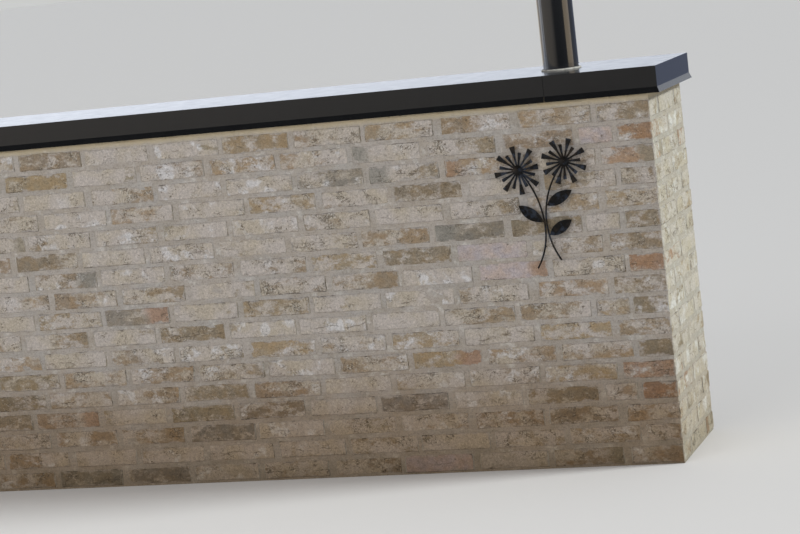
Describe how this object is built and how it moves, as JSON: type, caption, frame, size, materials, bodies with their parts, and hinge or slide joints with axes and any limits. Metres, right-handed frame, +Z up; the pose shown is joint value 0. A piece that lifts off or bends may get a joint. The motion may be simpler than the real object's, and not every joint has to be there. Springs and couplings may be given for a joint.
{
  "type": "brick garden wall with a metal coping, canopy posts and a flower ornament",
  "caption": "Free-standing garden wall of hand-moulded brick under a folded metal coping, with round canopy posts rising through it and a wrought flower ornament.",
  "frame": {"origin": "centre of the wall's footprint, on the ground", "axes": "+X along the wall to its right end, the front face looks to -Y, +Z up"},
  "size_m": [3.468, 0.468, 2.4],
  "materials": {
    "brickwork": "hand-moulded brick with flush mortar",
    "concrete": "cast",
    "coping": "powder coated, satin",
    "bearer_metal": "galvanised",
    "post": "powder coated, satin",
    "sealant": "matte",
    "wrought_metal": "dark patina"
  },
  "bodies": {
    "root": {"front_brickwork": "brickwork", "back_brickwork": "brickwork", "right_end_brickwork": "brickwork", "left_end_brickwork": "brickwork", "core_fill": "concrete", "coping_length": "coping", "right_coping_end": "coping", "left_coping_end": "coping", "right_splice_plate": "bearer_metal", "left_splice_plate": "bearer_metal", "bearer_1": "bearer_metal", "bearer_2": "bearer_metal", "bearer_3": "bearer_metal", "bearer_4": "bearer_metal", "bearer_5": "bearer_metal", "bearer_6": "bearer_metal", "right_post_tube": "post", "left_post_tube": "post", "right_base_plate": "post", "left_base_plate": "post", "right_head_plate": "post", "left_head_plate": "post", "right_sealant": "sealant", "left_sealant": "sealant", "left_stem": "wrought_metal", "right_stem": "wrought_metal", "upper_leaf": "wrought_metal", "side_leaf": "wrought_metal", "lower_leaf": "wrought_metal", "left_long_rays": "wrought_metal", "left_short_rays": "wrought_metal", "left_hub": "wrought_metal", "right_long_rays": "wrought_metal", "right_short_rays": "wrought_metal", "right_hub": "wrought_metal", "wall_pins": "wrought_metal"}
  },
  "joints": []
}
